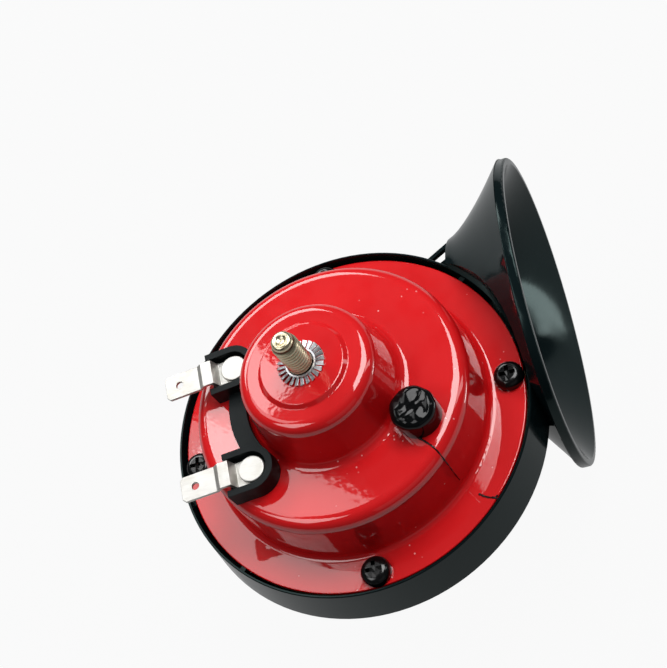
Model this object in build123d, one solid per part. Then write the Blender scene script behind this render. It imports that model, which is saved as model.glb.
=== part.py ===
from build123d import *
import os
from math import atan, copysign, cos, degrees, hypot, pi, radians, sin

# Electric snail horn for a car: moulded horn shell, pressed rear cover, stud mount and works inside.
# Millimetres.  The origin is where the mounting bracket bears on the toothed washer, +Z runs out
# along the stud, and +X is the way the bell faces.  The diaphragm lies in a plane across Z.

# mounting stud, M6, and the parts on it
STUD_R = 3.0
STUD_REACH = 11.3            # from the bracket's bearing face to the tip
STUD_ROOT_R = 2.6            # undercut and root
STUD_ROOT = 9.0              # depth of the root under the cover's seat
STUD_CHAMFER = 0.9
TIP_DIMPLE_R = 1.3
TIP_DIMPLE_DEPTH = 0.8
WASHER_R = 5.6
WASHER_FIT = 0.15
WASHER_RING_R = 4.3
WASHER_T = 0.7
WASHER_TEETH = 24
TOOTH_TWIST = 28.0
TOOTH_W = 0.8
TOOTH_T = 0.4

# rear cover, pressed steel
SHEET = 1.0
LAND_R = 9.9                 # raised land that the washer seats on
SHOULDER_DROP = 0.9
BOSS_R = 16.0
BOSS_FOOT_R = 18.4
BOSS_HEIGHT = 15.1           # seat to the plateau
PLATEAU_R = 33.4
PLATEAU_FOOT_R = 34.6
COVER_HEIGHT = 31.3          # seat to the flange's top
COVER_R = 43.2
STEP_FILLET = 0.35
BOSS_EDGE_FILLET = 3.0
BOSS_FOOT_FILLET = 2.4
PLATEAU_EDGE_FILLET = 3.2
FLANGE_FILLET = 1.6
FLANGE_EDGE = 0.3            # rounded edge of the sheared flange

# clamped rings under the flange
GASKET_T = 0.4
DIAPHRAGM_T = 0.3
CLAMP_W = 6.4                # width of the clamped ring

# cover screws, M4 pan head
SCREW_ANGLES = (1.0, -86.0, -175.0, 94.0)
SCREW_INSET = 3.5            # flange's edge to each screw's centre
SCREW_R = 1.95
SCREW_LENGTH = 8.0
SCREW_HEAD_R = 3.6
SCREW_HEAD_H = 2.5
SCREW_HEAD_ROUND = 1.8
SCREW_CLEARANCE = 0.25
CROSS_WIDTH = 1.0
CROSS_SPAN = 4.0
CROSS_DEPTH = 1.5

# horn shell, moulded
SKIRT_DRAFT = 1.5            # how much the skirt widens below the rim
RIM_STAND = 1.5              # rim above the flange
RIM_EDGE = 0.2
RIM_GAP = 0.95               # flange's edge to the rim
RIM_LAND = 0.55              # flat top of the rim, with its edge
SHELL_DEPTH = 14.6           # flange to the outside of the front face
EDGE_BEVEL_H = 4.6
EDGE_BEVEL_W = 3.8
SHELL_WALL = 2.0
CLAMP_WALL = 2.3
POCKET_DEPTH = 8.0
SCREW_BOSS_WALL = 2.05
RIB_COUNT = 12
RIB_W = 1.4

# sound duct on the front face, from its closed end round to the neck
DUCT_OUTER_R = 40.6
DUCT_END_ANGLE = 208.0
DUCT_TOP_ANGLE = 90.0
DUCT_END_W = 10.0
DUCT_TOP_W = 26.0
DUCT_TAPER = 0.72            # how the width falls off round the spiral
DUCT_END_H = 5.0
DUCT_TOP_H = 14.5
DUCT_POWER = 3.2             # squareness of the duct's section
DUCT_SINK = 1.0              # its middle plane's height in the floor
DUCT_RISE = 0.5              # straight side over the middle plane
DUCT_SECTIONS = 15
RUN_SECTIONS = 8
RUN_ROOF = 1.8               # straight side over the middle plane by the neck
RUN_WIDTH_POWER = 4.0
RUN_DEPTH_POWER = 2.0
ROUND_POWER = 2.0            # a round section
NECK_W = 39.6                # duct's width where it ends in the neck
NECK_OVERLAP = 3.0
NECK_INSIDE = 1.2            # duct's crest inside the neck's
THROAT_R = 2.6

# bell
NECK_X = 29.0                # shoulder where the neck opens out
NECK_Y = 28.95
NECK_DROP = 48.6             # seat to the neck's axis
NECK_R = 20.7
BELL_X = 48.9                # mouth's centre
BELL_Y = 26.3
BELL_DROP = 50.8
BELL_R = 39.8
BELL_TURN = 1.0              # mouth's turn about the stud's direction
FLARE_POWER = 1.25           # outside, from the neck to the back of the lip
BORE_POWER = 1.25            # inside, from the neck to the mouth
MOUTH_EDGE = 1.6             # flat edge round the mouth
BELL_SECTIONS = 7
LIP_W = 2.5
LIP_ROUND = 0.55
LIP_OVERLAP = 0.3            # flare's end inside the lip
LIP_STAND = 0.6              # lip outside the flare's end
RIM_WALL = 1.8               # wall of the bell where it passes the rim

# strut from the skirt to the neck
STRUT_T = 1.0
STRUT_H = 1.4
STRUT_DROP = 38.8            # seat to its upper edge
STRUT_START = (18.2, 40.1)
STRUT_END = (29.6, 46.9)

# bare recessed panel on the front face
PANEL_W = 46.8
PANEL_SIDE_H = 26.0
PANEL_H = 36.4
PANEL_X = 2.8
PANEL_Y = -8.3
PANEL_DEPTH = 0.5

# terminal block and blades
BLOCK_ANGLE = 186.5
BLOCK_OFFSET = 1.27          # middle of the pair, sideways from the radial line
BLADE_PITCH = 27.0
CUP_REACH = 19.8             # stud axis to the rivet, along the block's direction
CUP_R = 5.5
CUP_END = 26.1               # open end of each cup
CUP_H = 5.1
CUP_FLOOR = 2.4
CUP_WALL = 1.6
BRIDGE_INNER_R = 19.3
BRIDGE_OUTER_R = 23.6
BRIDGE_H = 2.1
TRIM_GAP = 0.15              # holder clear of the boss's side
FOOT_TRIM_OUT = 0.72         # corner of the trim in the boss's foot fillet
FOOT_TRIM_UP = 0.84
BLADE_W = 6.3
BLADE_T = 0.8
BLADE_END = 37.0
BLADE_HOLE = 33.4
BLADE_HOLE_R = 0.9
RISE_START = 24.6
RISE_END = 25.4
DIP_START = 27.0
DIP_LEAN = 0.24              # keeps the strip's thickness through the dip
DIP_END = 28.1
BLADE_RISE = 2.9
BLADE_DIP = 0.8
TERMINAL_RIVET_R = 1.5
TERMINAL_HEAD_R = 3.2
TERMINAL_HEAD_H = 1.1
TERMINAL_HEAD_ROUND = 0.33
SPIGOT_R = 2.4
INSULATOR_R = 4.4
INSULATOR_T = 1.0
TAIL_HEAD_R = 2.6
TAIL_HEAD_H = 0.9

# contact-breaker adjusting screw and its sealant
ADJUSTER_X = 21.4
ADJUSTER_Y = -12.0
ADJUSTER_R = 2.0
ADJUSTER_TOP = 3.6           # above the plateau
ADJUSTER_SLOT_W = 0.8
COLLAR_R = 3.1
COLLAR_H = 1.6
SEALANT_R = 5.4
SEALANT_H = 6.4
SEALANT_EDGE = 1.8

# electromagnet
CORE_R = 6.0
CORE_FACE_R = 8.5
CORE_FACE_T = 1.6
CORE_BOTTOM = 19.6           # seat to the pole face
BOBBIN_R = 13.5
BOBBIN_TOP = 2.2
BOBBIN_WALL = 1.2
CORE_FIT = 0.1
COIL_R = 12.7

# armature and diaphragm centre
AIR_GAP = 0.8
ARMATURE_R = 11.0
ARMATURE_T = 6.4
COLLAR_NECK_R = 6.0
STEM_R = 2.5
STEM_FIT = 0.1
NUT_AF = 8.0
NUT_T = 4.0
STEM_TAIL = 0.7
STIFFENER_R = 9.0
STIFFENER_T = 1.0

# contact breaker, under the plateau beside the coil
BREAKER_TURN = 60.0          # from the adjuster back to the breaker's base
STRIP_W = 6.0
SPRING_T = 0.4
FIXED_T = 0.6
CONTACT_R = 1.5
CONTACT_T = 0.6
CONTACT_REACH = 14.8
SPRING_REACH = 16.8
FIXED_REACH = 26.6
TAB_W = 3.0
TAB_OVERLAP = 1.5            # tab over the armature's rim
TAG_TAIL = 3.0               # solder tag behind the stack
TAB_CLEAR = 0.1
BRACKET_T = 1.0
BRACKET_L = 8.4
BRACKET_W = 7.0
INSULATION_T = 0.6
BREAKER_RIVET_R = 1.2
BREAKER_HEAD_R = 2.2
BREAKER_HEAD_H = 0.8
STRIP_HOLE_R = 1.9
PAD_R = 1.9
PAD_T = 0.6

# duct plate inside the shell
PLATE_T = 2.0
PLATE_FIT = 0.15

# radii that follow
CLAMP_R = COVER_R - CLAMP_W
CHAMBER_R = CLAMP_R
SCREW_CIRCLE_R = COVER_R - SCREW_INSET
SCREW_HOLE_R = SCREW_R + SCREW_CLEARANCE
SCREW_BOSS_R = SCREW_R + SCREW_BOSS_WALL
POCKET_R = COVER_R + RIM_GAP
RIM_R = POCKET_R + RIM_LAND
SHELL_R = RIM_R + SKIRT_DRAFT
FACE_R = SHELL_R - EDGE_BEVEL_W

# levels, from the bearing face down
SEAT_Z = -WASHER_T
SHOULDER_Z = SEAT_Z - SHOULDER_DROP
PLATEAU_Z = SEAT_Z - BOSS_HEIGHT
FLANGE_Z = SEAT_Z - COVER_HEIGHT
REAR_GASKET_Z = FLANGE_Z - SHEET
DIAPHRAGM_Z = REAR_GASKET_Z - GASKET_T
FRONT_GASKET_Z = DIAPHRAGM_Z - DIAPHRAGM_T
LEDGE_Z = FRONT_GASKET_Z - GASKET_T
FACE_Z = FLANGE_Z - SHELL_DEPTH
FLOOR_Z = FACE_Z + SHELL_WALL
RIM_Z = FLANGE_Z + RIM_STAND
UNDER_PLATEAU_Z = PLATEAU_Z - SHEET
CUP_FLOOR_Z = PLATEAU_Z + CUP_FLOOR
CORE_TOP_Z = SEAT_Z - SHEET
POLE_FACE_Z = SEAT_Z - CORE_BOTTOM
BOBBIN_Z = POLE_FACE_Z + CORE_FACE_T
ARMATURE_Z = POLE_FACE_Z - AIR_GAP
SPRING_Z = ARMATURE_Z + TAB_CLEAR
FIXED_Z = SPRING_Z - CONTACT_T - FIXED_T
NECK_Z = SEAT_Z - NECK_DROP
BELL_Z = SEAT_Z - BELL_DROP
ABOVE = 30.0                 # past the stud's tip, for cuts that run out of the top
SECTION_POINTS = 13

UP = (0.0, 0.0, 1.0)


def disc(radius, bottom, height, x=0.0, y=0.0):
    """Upright round bar that stands on the level called bottom."""
    return Pos(x, y, bottom) * Cylinder(radius, height, align=(Align.CENTER, Align.CENTER, Align.MIN))


def ring(outer, inner, bottom, height, x=0.0, y=0.0):
    """Upright tube."""
    return disc(outer, bottom, height, x, y) - disc(inner, bottom, height, x, y)


def block(length, width, height, x, y, bottom):
    """Box centred on x and y that stands on the level called bottom."""
    return Pos(x, y, bottom) * Box(length, width, height, align=(Align.CENTER, Align.CENTER, Align.MIN))


def turned(points):
    """Solid of revolution about Z from a closed outline of radius and height."""
    return revolve(Plane.XZ * make_face(Polyline(*points, close=True)), Axis.Z)


def bolt_circle(radius, angles):
    """Places on a circle about Z."""
    return [(radius * cos(radians(angle)), radius * sin(radians(angle))) for angle in angles]


def screw_places():
    """Centres of the cover screws."""
    return bolt_circle(SCREW_CIRCLE_R, SCREW_ANGLES)


# ---------------------------------------------------------------- rear cover

def cover_corners():
    """Outside line of the cover as radius, height and fillet, from the stud hole out to the flange."""
    return [
        (STUD_R + CORE_FIT, SEAT_Z, 0.0),
        (LAND_R, SEAT_Z, STEP_FILLET),
        (LAND_R + SHOULDER_DROP, SHOULDER_Z, STEP_FILLET),
        (BOSS_R, SHOULDER_Z, BOSS_EDGE_FILLET),
        (BOSS_FOOT_R, PLATEAU_Z, BOSS_FOOT_FILLET),
        (PLATEAU_R, PLATEAU_Z, PLATEAU_EDGE_FILLET),
        (PLATEAU_FOOT_R, FLANGE_Z, FLANGE_FILLET),
        (COVER_R, FLANGE_Z, 0.0),
    ]


def shifted_corner(before, corner, after, depth):
    """Corner of the line that runs at a depth under the three corners given."""
    ax, ay = corner[0] - before[0], corner[1] - before[1]
    bx, by = after[0] - corner[0], after[1] - corner[1]
    a_len, b_len = hypot(ax, ay), hypot(bx, by)
    ax, ay, bx, by = ax / a_len, ay / a_len, bx / b_len, by / b_len
    spread = depth / (1.0 + ax * bx + ay * by)
    return corner[0] + (ay + by) * spread, corner[1] - (ax + bx) * spread, ax * by - ay * bx


def cover_line(depth):
    """Cover line at a depth under the painted face, with its fillets kept parallel."""
    corners = cover_corners()
    first, last = corners[0], corners[-1]
    points = [(first[0], first[1] - depth)]
    radii = []
    for before, corner, after in zip(corners, corners[1:], corners[2:]):
        radius, height, turn = shifted_corner(before, corner, after, depth)
        points.append((radius, height))
        inside = corner[2] + depth if turn > 0 else corner[2] - depth
        radii.append(max(inside, STEP_FILLET))
    points.append((last[0], last[1] - depth))
    return FilletPolyline(*points, radius=radii)


def cover_skin(outer_depth, inner_depth):
    """Turned skin between two depths under the painted face."""
    outer, inner = cover_line(outer_depth), cover_line(inner_depth)
    outline = outer + Line(outer @ 1, inner @ 1) + inner + Line(inner @ 0, outer @ 0)
    return revolve(Plane.XZ * make_face(outline), Axis.Z)


def make_rear_cover():
    """Pressed cover with its holes for screws, rivets and the adjuster's drawn collar."""
    cover = cover_skin(0.0, SHEET)
    edge = cover.edges().filter_by(GeomType.CIRCLE).group_by(SortBy.RADIUS)[-1].sort_by(Axis.Z)[-1]
    cover = fillet(edge, FLANGE_EDGE)
    drawn_h = COLLAR_H + SHEET
    cover += ring(COLLAR_R, ADJUSTER_R, UNDER_PLATEAU_Z - COLLAR_H, drawn_h, ADJUSTER_X, ADJUSTER_Y)
    cover -= disc(ADJUSTER_R, UNDER_PLATEAU_Z - COLLAR_H, COLLAR_H + 2 * SHEET, ADJUSTER_X, ADJUSTER_Y)
    for x, y in screw_places():
        cover -= disc(SCREW_HOLE_R, FLANGE_Z - 2 * SHEET, 3 * SHEET, x, y)
    for x, y in rivet_places():
        cover -= disc(SPIGOT_R, UNDER_PLATEAU_Z - SHEET, 3 * SHEET, x, y)
    return cover


# ---------------------------------------------------------------- stud and washer

def make_mounting_stud():
    """Stud with a chamfered and dimpled tip, undercut where it passes the washer."""
    stud = chamfer(disc(STUD_R, 0.0, STUD_REACH).edges().sort_by(Axis.Z)[-1], STUD_CHAMFER)
    stud += disc(STUD_ROOT_R, SEAT_Z - STUD_ROOT, STUD_ROOT - SEAT_Z)
    return stud - Pos(0, 0, STUD_REACH) * Cone(0, TIP_DIMPLE_R, TIP_DIMPLE_DEPTH)


def make_toothed_washer():
    """External-tooth lock washer: a ring with twisted teeth all round."""
    washer = ring(WASHER_RING_R, STUD_R + WASHER_FIT, SEAT_Z, WASHER_T)
    tooth_l = WASHER_R - WASHER_RING_R + WASHER_T
    tooth = Rot(TOOTH_TWIST, 0, 0) * Box(tooth_l, TOOTH_W, TOOTH_T)
    tooth = Pos(WASHER_R - tooth_l / 2, 0, SEAT_Z + WASHER_T / 2) * tooth
    for step in range(WASHER_TEETH):
        washer += Rot(0, 0, step * 360 / WASHER_TEETH) * tooth
    return washer & disc(WASHER_R, SEAT_Z, WASHER_T)


# ---------------------------------------------------------------- electromagnet

def make_pole_core():
    """Core welded under the boss, with the pole face that holds the bobbin up."""
    core = disc(CORE_R, POLE_FACE_Z, CORE_TOP_Z - POLE_FACE_Z)
    core += disc(CORE_FACE_R, POLE_FACE_Z, CORE_FACE_T)
    return core - disc(STUD_ROOT_R, SEAT_Z - STUD_ROOT, STUD_ROOT)


def bobbin_height():
    """Height of the bobbin between the pole face and the boss."""
    return SEAT_Z - BOBBIN_TOP - BOBBIN_Z


def make_coil_bobbin():
    """Moulded bobbin between the boss and the pole face."""
    hub = CORE_R + CORE_FIT + BOBBIN_WALL
    bobbin = disc(BOBBIN_R, BOBBIN_Z, bobbin_height())
    bobbin -= ring(BOBBIN_R, hub, BOBBIN_Z + BOBBIN_WALL, bobbin_height() - 2 * BOBBIN_WALL)
    return bobbin - disc(CORE_R + CORE_FIT, BOBBIN_Z, bobbin_height())


def make_coil_winding():
    """Enamelled copper winding that fills the bobbin."""
    hub = CORE_R + CORE_FIT + BOBBIN_WALL
    winding = ring(COIL_R, hub, BOBBIN_Z + BOBBIN_WALL, bobbin_height() - 2 * BOBBIN_WALL)
    return fillet(winding.edges().filter_by(GeomType.CIRCLE).group_by(SortBy.RADIUS)[-1], BOBBIN_WALL)


def make_armature():
    """Turned armature: the disc under the pole, a collar on the diaphragm and a threaded stem."""
    stem_end = FRONT_GASKET_Z - STIFFENER_T - NUT_T - STEM_TAIL
    disc_bottom = ARMATURE_Z - ARMATURE_T
    return turned([
        (0, stem_end), (STEM_R, stem_end), (STEM_R, DIAPHRAGM_Z), (COLLAR_NECK_R, DIAPHRAGM_Z),
        (COLLAR_NECK_R, disc_bottom), (ARMATURE_R - 1.0, disc_bottom), (ARMATURE_R, disc_bottom + 1.0),
        (ARMATURE_R, ARMATURE_Z), (0, ARMATURE_Z),
    ])


def make_stiffener_washer():
    """Washer that backs the diaphragm's centre."""
    return ring(STIFFENER_R, STEM_R + STEM_FIT, FRONT_GASKET_Z - STIFFENER_T, STIFFENER_T)


def make_armature_nut():
    """Hexagon nut on the armature's stem."""
    top = FRONT_GASKET_Z - STIFFENER_T
    hexagon = Pos(0, 0, top - NUT_T) * extrude(RegularPolygon(NUT_AF / 2, 6, major_radius=False), NUT_T)
    crown = Pos(0, 0, top - NUT_T) * Cone(NUT_AF / 2, NUT_AF / 2 + NUT_T, NUT_T,
                                          align=(Align.CENTER, Align.CENTER, Align.MIN))
    return (hexagon & crown) - disc(STEM_R, top - NUT_T, NUT_T)


# ---------------------------------------------------------------- clamped rings

def clamped_sheet(outer, inner, bottom, thickness):
    """Flat ring with the four screw holes."""
    sheet = ring(outer, inner, bottom, thickness)
    for x, y in screw_places():
        sheet -= disc(SCREW_HOLE_R, bottom, thickness, x, y)
    return sheet


def make_rear_gasket():
    """Paper gasket between the flange and the diaphragm."""
    return clamped_sheet(COVER_R, CLAMP_R, DIAPHRAGM_Z, GASKET_T)


def make_diaphragm():
    """Spring-steel diaphragm."""
    return clamped_sheet(COVER_R, STEM_R + STEM_FIT, FRONT_GASKET_Z, DIAPHRAGM_T)


def make_front_gasket():
    """Paper gasket between the diaphragm and the shell."""
    return clamped_sheet(COVER_R, CLAMP_R, LEDGE_Z, GASKET_T)


def make_cover_screws():
    """Pan-head screws with a cross recess, one solid each."""
    head = disc(SCREW_HEAD_R, 0.0, SCREW_HEAD_H)
    head = fillet(head.edges().sort_by(Axis.Z)[-1], SCREW_HEAD_ROUND)
    cross = block(CROSS_SPAN, CROSS_WIDTH, CROSS_DEPTH, 0, 0, SCREW_HEAD_H - CROSS_DEPTH)
    head -= cross + Rot(0, 0, 90) * cross
    screw = head + disc(SCREW_R, -SCREW_LENGTH, SCREW_LENGTH)
    return Compound([Pos(x, y, FLANGE_Z) * screw for x, y in screw_places()])


# ---------------------------------------------------------------- horn shell

def trough_section(plane, half_width, depth, rise, power):
    """Section of the duct: a superellipse below the plane's x axis and straight sides above it."""
    points = []
    for step in range(SECTION_POINTS):
        angle = pi * step / (SECTION_POINTS - 1)
        across = copysign(abs(cos(angle)) ** (2 / power), cos(angle)) * half_width
        points.append((across, -(abs(sin(angle)) ** (2 / power)) * depth))
    outline = Spline(*points, tangents=[(0, -1), (0, 1)])
    outline += Polyline((-half_width, 0), (-half_width, rise), (half_width, rise), (half_width, 0))
    return plane * make_face(outline)


def duct_share(angle):
    """One at the top of the duct, falling to nought at its closed end."""
    return (DUCT_END_ANGLE - angle) / (DUCT_END_ANGLE - DUCT_TOP_ANGLE)


def duct_width(angle):
    """Width of the duct across its path."""
    return DUCT_END_W + (DUCT_TOP_W - DUCT_END_W) * duct_share(angle) ** DUCT_TAPER


def duct_height(angle):
    """Height of the duct's crest over its middle plane."""
    return DUCT_SINK + DUCT_END_H + (DUCT_TOP_H - DUCT_END_H) * duct_share(angle)


def spiral_plane(angle):
    """Upright plane across the duct at an angle round the disc."""
    radius = DUCT_OUTER_R - duct_width(angle) / 2
    outward = (cos(radians(angle)), sin(radians(angle)), 0.0)
    forward = (sin(radians(angle)), -cos(radians(angle)), 0.0)
    origin = (radius * outward[0], radius * outward[1], FACE_Z + DUCT_SINK)
    return Plane(origin=origin, x_dir=outward, z_dir=forward)


def spiral_section(angle, inset, rise):
    """Section of the duct at an angle round the disc."""
    half_width, depth = duct_width(angle) / 2 - inset, duct_height(angle) - inset
    return trough_section(spiral_plane(angle), half_width, depth, rise, DUCT_POWER)


def run_plane(x, y, z, turn=0.0):
    """Upright plane across the neck or the bell, turned from +X by some degrees."""
    across, along = sin(radians(turn)), cos(radians(turn))
    return Plane(origin=(x, y, z), x_dir=(-across, along, 0), z_dir=(along, across, 0))


def run_section(share, inset, rise, roof):
    """Section of the duct's straight run, which swells from the spiral's trough to the neck's round."""
    spiral_middle = DUCT_OUTER_R - DUCT_TOP_W / 2
    middle = spiral_middle + (NECK_Y - spiral_middle) * share
    plane = run_plane((NECK_X + NECK_OVERLAP) * share, middle, FACE_Z + DUCT_SINK)
    width = DUCT_TOP_W + (NECK_W - DUCT_TOP_W) * share ** RUN_WIDTH_POWER
    start = duct_height(DUCT_TOP_ANGLE)
    end = FACE_Z + DUCT_SINK - (NECK_Z - NECK_R) - NECK_INSIDE
    depth = start + (end - start) * share ** RUN_DEPTH_POWER
    power = DUCT_POWER + (ROUND_POWER - DUCT_POWER) * share
    return trough_section(plane, width / 2 - inset, depth - inset, rise + (roof - rise) * share, power)


def duct_body(inset, rise, roof):
    """Duct from its round closed end to just inside the neck, each wall moved in by inset."""
    turn = (DUCT_TOP_ANGLE - DUCT_END_ANGLE) / (DUCT_SECTIONS - 1)
    sections = [spiral_section(DUCT_END_ANGLE + turn * step, inset, rise) for step in range(DUCT_SECTIONS)]
    sections += [run_section((step + 1) / RUN_SECTIONS, inset, rise, roof) for step in range(RUN_SECTIONS)]
    return loft(sections, ruled=True) + duct_end_cap(inset, rise)


def duct_end_cap(inset, rise):
    """Round closed end of the duct: half of its end section turned about the upright."""
    plane = spiral_plane(DUCT_END_ANGLE)
    half = Pos(DUCT_END_W, 0) * Rectangle(2 * DUCT_END_W, 4 * DUCT_END_H)
    return revolve(spiral_section(DUCT_END_ANGLE, inset, rise) & plane * half, Axis(plane.origin, UP))


def bell_plane(share):
    """Plane across the bell, from nought at the neck to one at the mouth, turned little by little."""
    return run_plane(
        NECK_X + (BELL_X - NECK_X) * share,
        NECK_Y + (BELL_Y - NECK_Y) * share,
        NECK_Z + (BELL_Z - NECK_Z) * share,
        BELL_TURN * share)


def flare(start_r, end_r, power, start, end):
    """Flaring solid between two shares of the bell's length; end_r is its radius where the share is one."""
    sections = []
    for step in range(BELL_SECTIONS):
        share = start + (end - start) * step / (BELL_SECTIONS - 1)
        radius = start_r + (end_r - start_r) * share ** power
        sections.append(bell_plane(share) * Circle(radius))
    return loft(sections)


def bell_body():
    """Outside of the bell, which reaches its full radius at the back of the lip and ends inside it."""
    length = BELL_X - NECK_X
    back = 1.0 - LIP_W / length
    full_r = NECK_R + (BELL_R - LIP_STAND - NECK_R) / back ** FLARE_POWER
    return flare(NECK_R, full_r, FLARE_POWER, 0.0, back + LIP_OVERLAP / length)


def bell_lip():
    """Rounded band round the mouth, deep enough for the bore to cut its inside."""
    depth = BELL_R - NECK_R
    outline = Pos(BELL_R - depth / 2, -LIP_W / 2) * RectangleRounded(depth, LIP_W, LIP_ROUND)
    return bell_plane(1.0) * revolve(Plane.XZ * outline, Axis.Z)


def neck_strut():
    """Thin strut from the skirt to the neck's side."""
    run, rise = STRUT_END[0] - STRUT_START[0], STRUT_END[1] - STRUT_START[1]
    bar = block(hypot(run, rise), STRUT_T, STRUT_H, hypot(run, rise) / 2, 0, 0)
    return Pos(*STRUT_START, SEAT_Z - STRUT_DROP - STRUT_H) * Rot(0, 0, degrees(atan(rise / run))) * bar


def pan_outside():
    """Turned outside of the disc part of the shell."""
    return turned([
        (0, FACE_Z), (FACE_R, FACE_Z), (SHELL_R, FACE_Z + EDGE_BEVEL_H),
        (RIM_R, RIM_Z - RIM_EDGE), (RIM_R - RIM_EDGE, RIM_Z), (0, RIM_Z),
    ])


def pan_inside():
    """Space inside the disc part: the chamber, the seat for the cover and all that is over the rim."""
    seat = disc(POCKET_R, LEDGE_Z, RIM_Z - LEDGE_Z)
    return seat + disc(CHAMBER_R, FLOOR_Z, LEDGE_Z - FLOOR_Z) + disc(RIM_R, RIM_Z, ABOVE - RIM_Z)


def screw_boss_ring():
    """Open pocket between the clamp wall and the skirt, less its ribs and screw bosses."""
    pocket_bottom = LEDGE_Z - POCKET_DEPTH
    pocket = ring(POCKET_R, CHAMBER_R + CLAMP_WALL, pocket_bottom, POCKET_DEPTH)
    for x, y in screw_places():
        pocket -= disc(SCREW_BOSS_R, pocket_bottom, POCKET_DEPTH, x, y)
    for step in range(RIB_COUNT):
        rib = block(SHELL_R, RIB_W, POCKET_DEPTH, SHELL_R / 2, 0, pocket_bottom)
        pocket -= Rot(0, 0, (step + 0.5) * 360 / RIB_COUNT) * rib
    return pocket


def panel_recess():
    """Bare barrel-shaped recess in the front face."""
    half_w, side, top = PANEL_W / 2, PANEL_SIDE_H / 2, PANEL_H / 2
    outline = Line((half_w, -side), (half_w, side))
    outline += ThreePointArc((half_w, side), (0, top), (-half_w, side))
    outline += Line((-half_w, side), (-half_w, -side))
    outline += ThreePointArc((-half_w, -side), (0, -top), (half_w, -side))
    return Pos(PANEL_X, PANEL_Y, FACE_Z - 1.0) * extrude(make_face(outline), 1.0 + PANEL_DEPTH)


def bell_bore():
    """Inside of the bell, which keeps off the disc part and leaves a wall round the rim."""
    wall_share = SHELL_WALL / (BELL_X - NECK_X)
    kept = pan_outside() + disc(RIM_R + RIM_WALL, FACE_Z + EDGE_BEVEL_H, ABOVE - FACE_Z)
    return flare(NECK_R - SHELL_WALL, BELL_R - MOUTH_EDGE, BORE_POWER, wall_share, 1.0 + wall_share) - kept


def make_horn_shell():
    """Shell in one moulding: disc, duct, neck, bell and lip."""
    shell = pan_outside() + duct_body(0.0, DUCT_RISE, RUN_ROOF)
    shell += bell_body()
    shell += bell_lip()
    shell -= bell_bore()
    shell -= duct_body(SHELL_WALL, SHELL_WALL - DUCT_SINK, SHELL_WALL - DUCT_SINK)
    shell -= pan_inside()
    shell += neck_strut()
    shell -= screw_boss_ring()
    shell -= panel_recess()
    for x, y in screw_places():
        shell -= disc(SCREW_R, FLANGE_Z - SCREW_LENGTH, SCREW_LENGTH, x, y)
    return shell


def make_duct_plate():
    """Plate welded in the shell's floor that closes the duct but for its throat."""
    throat = spiral_plane(DUCT_END_ANGLE).origin
    reach = (CHAMBER_R - PLATE_FIT - THROAT_R - SHELL_WALL / 2) / hypot(throat.X, throat.Y)
    plate = disc(CHAMBER_R - PLATE_FIT, FLOOR_Z, PLATE_T)
    return plate - disc(THROAT_R, FLOOR_Z, PLATE_T, throat.X * reach, throat.Y * reach)


# ---------------------------------------------------------------- terminals

def block_plane(height):
    """Plane whose x runs out along the blades and whose y runs from blade to blade."""
    out = (cos(radians(BLOCK_ANGLE)), sin(radians(BLOCK_ANGLE)), 0.0)
    return Plane(origin=(0, 0, height), x_dir=out, z_dir=UP)


def blade_sides():
    """Distance of each blade's middle line from the radial line."""
    return [BLOCK_OFFSET + side * BLADE_PITCH / 2 for side in (-1, 1)]


def rivet_places():
    """Centres of the terminal rivets."""
    base = block_plane(0.0)
    centres = [base.from_local_coords(Vector(CUP_REACH, side, 0)) for side in blade_sides()]
    return [(centre.X, centre.Y) for centre in centres]


def cup(side):
    """One U-shaped cup, open at its outer end."""
    length = CUP_END - CUP_REACH

    def outline(radius, end):
        return Pos(CUP_REACH, side) * (Circle(radius) + Pos(end / 2, 0) * Rectangle(end, 2 * radius))

    body = extrude(outline(CUP_R, length), CUP_H)
    return body - Pos(0, 0, CUP_FLOOR) * extrude(outline(CUP_R - CUP_WALL, length + CUP_WALL), CUP_H)


def bridge():
    """Curved strip that joins the cups and hugs the boss."""
    half_angle = degrees(atan(BLADE_PITCH / 2 / CUP_REACH))
    strip = ring(BRIDGE_OUTER_R, BRIDGE_INNER_R, 0.0, BRIDGE_H)
    wedge_reach = 2 * BRIDGE_OUTER_R
    rise = wedge_reach * sin(radians(half_angle))
    run = wedge_reach * cos(radians(half_angle))
    return strip & extrude(make_face(Polyline((0, 0), (run, rise), (run, -rise), close=True)), BRIDGE_H)


def make_terminal_block():
    """Moulded holder: two cups, the bridge and the spigots through the cover."""
    holder = bridge()
    for side in blade_sides():
        holder += cup(side)
    holder = block_plane(PLATEAU_Z) * holder
    holder -= cover_reach()
    for x, y in rivet_places():
        holder += disc(SPIGOT_R, UNDER_PLATEAU_Z, SHEET, x, y)
        holder -= disc(TERMINAL_RIVET_R, UNDER_PLATEAU_Z, SHEET + CUP_FLOOR, x, y)
    return holder


def cover_reach():
    """Boss side with its foot fillet, to trim what leans on it."""
    return turned([
        (0, PLATEAU_Z), (BOSS_FOOT_R + BOSS_FOOT_FILLET, PLATEAU_Z),
        (BOSS_FOOT_R + FOOT_TRIM_OUT, PLATEAU_Z + FOOT_TRIM_UP),
        (BOSS_FOOT_R + TRIM_GAP, PLATEAU_Z + BOSS_FOOT_FILLET),
        (BOSS_R + TRIM_GAP, SEAT_Z), (0, SEAT_Z),
    ])


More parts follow.
